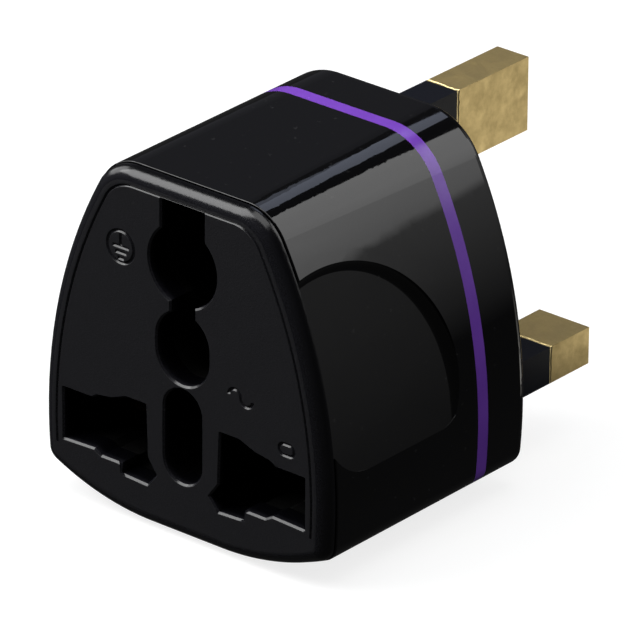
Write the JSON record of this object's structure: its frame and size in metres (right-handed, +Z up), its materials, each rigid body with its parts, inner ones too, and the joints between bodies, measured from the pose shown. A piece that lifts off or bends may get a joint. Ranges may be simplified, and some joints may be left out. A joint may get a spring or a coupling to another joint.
{
  "type": "universal travel adapter",
  "caption": "Travel plug adapter: multi-standard socket face, black case with an accent ring, three rectangular pins and a fuse drawer between them.",
  "frame": {"origin": "under the middle of the whole object's box, on the surface that its flat foot stands on", "axes": "+Y towards the tips of the pins, -Y out of the socket face, +Z up with the earth pin on top, +X to the live side"},
  "size_m": [0.0366, 0.0508, 0.0382],
  "materials": {
    "face_plastic": "fine-grained matte black",
    "shell_plastic": "polished black",
    "ring_plastic": "polished violet",
    "base_plastic": "polished black",
    "drawer_plastic": "polished black",
    "carrier_plastic": "plain black",
    "barrier_plastic": "brown laminate sheet",
    "sleeve_plastic": "satin black",
    "pin_brass": "pale drawn brass, satin",
    "contact_brass": "rolled brass strip",
    "fuse_body": "glazed off-white ceramic",
    "fuse_cap_metal": "nickel-plated",
    "screw_steel": "zinc-plated"
  },
  "bodies": {
    "adapter": {"socket_face": "face_plastic", "front_shell": "shell_plastic", "accent_ring": "ring_plastic", "rear_base": "base_plastic", "contact_carrier": "carrier_plastic", "line_barrier": "barrier_plastic", "earth_barrier": "barrier_plastic", "earth_pin": "pin_brass", "live_pin": "pin_brass", "neutral_pin": "pin_brass", "earth_pin_sleeve": "sleeve_plastic", "live_pin_sleeve": "sleeve_plastic", "neutral_pin_sleeve": "sleeve_plastic", "earth_contact_left": "contact_brass", "earth_contact_right": "contact_brass", "live_contact_upper": "contact_brass", "live_contact_lower": "contact_brass", "neutral_contact_upper": "contact_brass", "neutral_contact_lower": "contact_brass", "contact_rivets": "contact_brass", "live_link": "contact_brass", "fuse_clip_supply": "contact_brass", "fuse_clip_load": "contact_brass", "case_screws": "screw_steel"},
    "fuse_drawer": {"fuse_carrier": "drawer_plastic", "fuse_tube": "fuse_body", "fuse_cap_left": "fuse_cap_metal", "fuse_cap_right": "fuse_cap_metal"}
  },
  "joints": [
    {"name": "fuse_drawer_slide", "type": "slide", "parent": "adapter", "child": "fuse_drawer", "axis": [0, 1, 0], "range_m": [0, 0.01]}
  ]
}
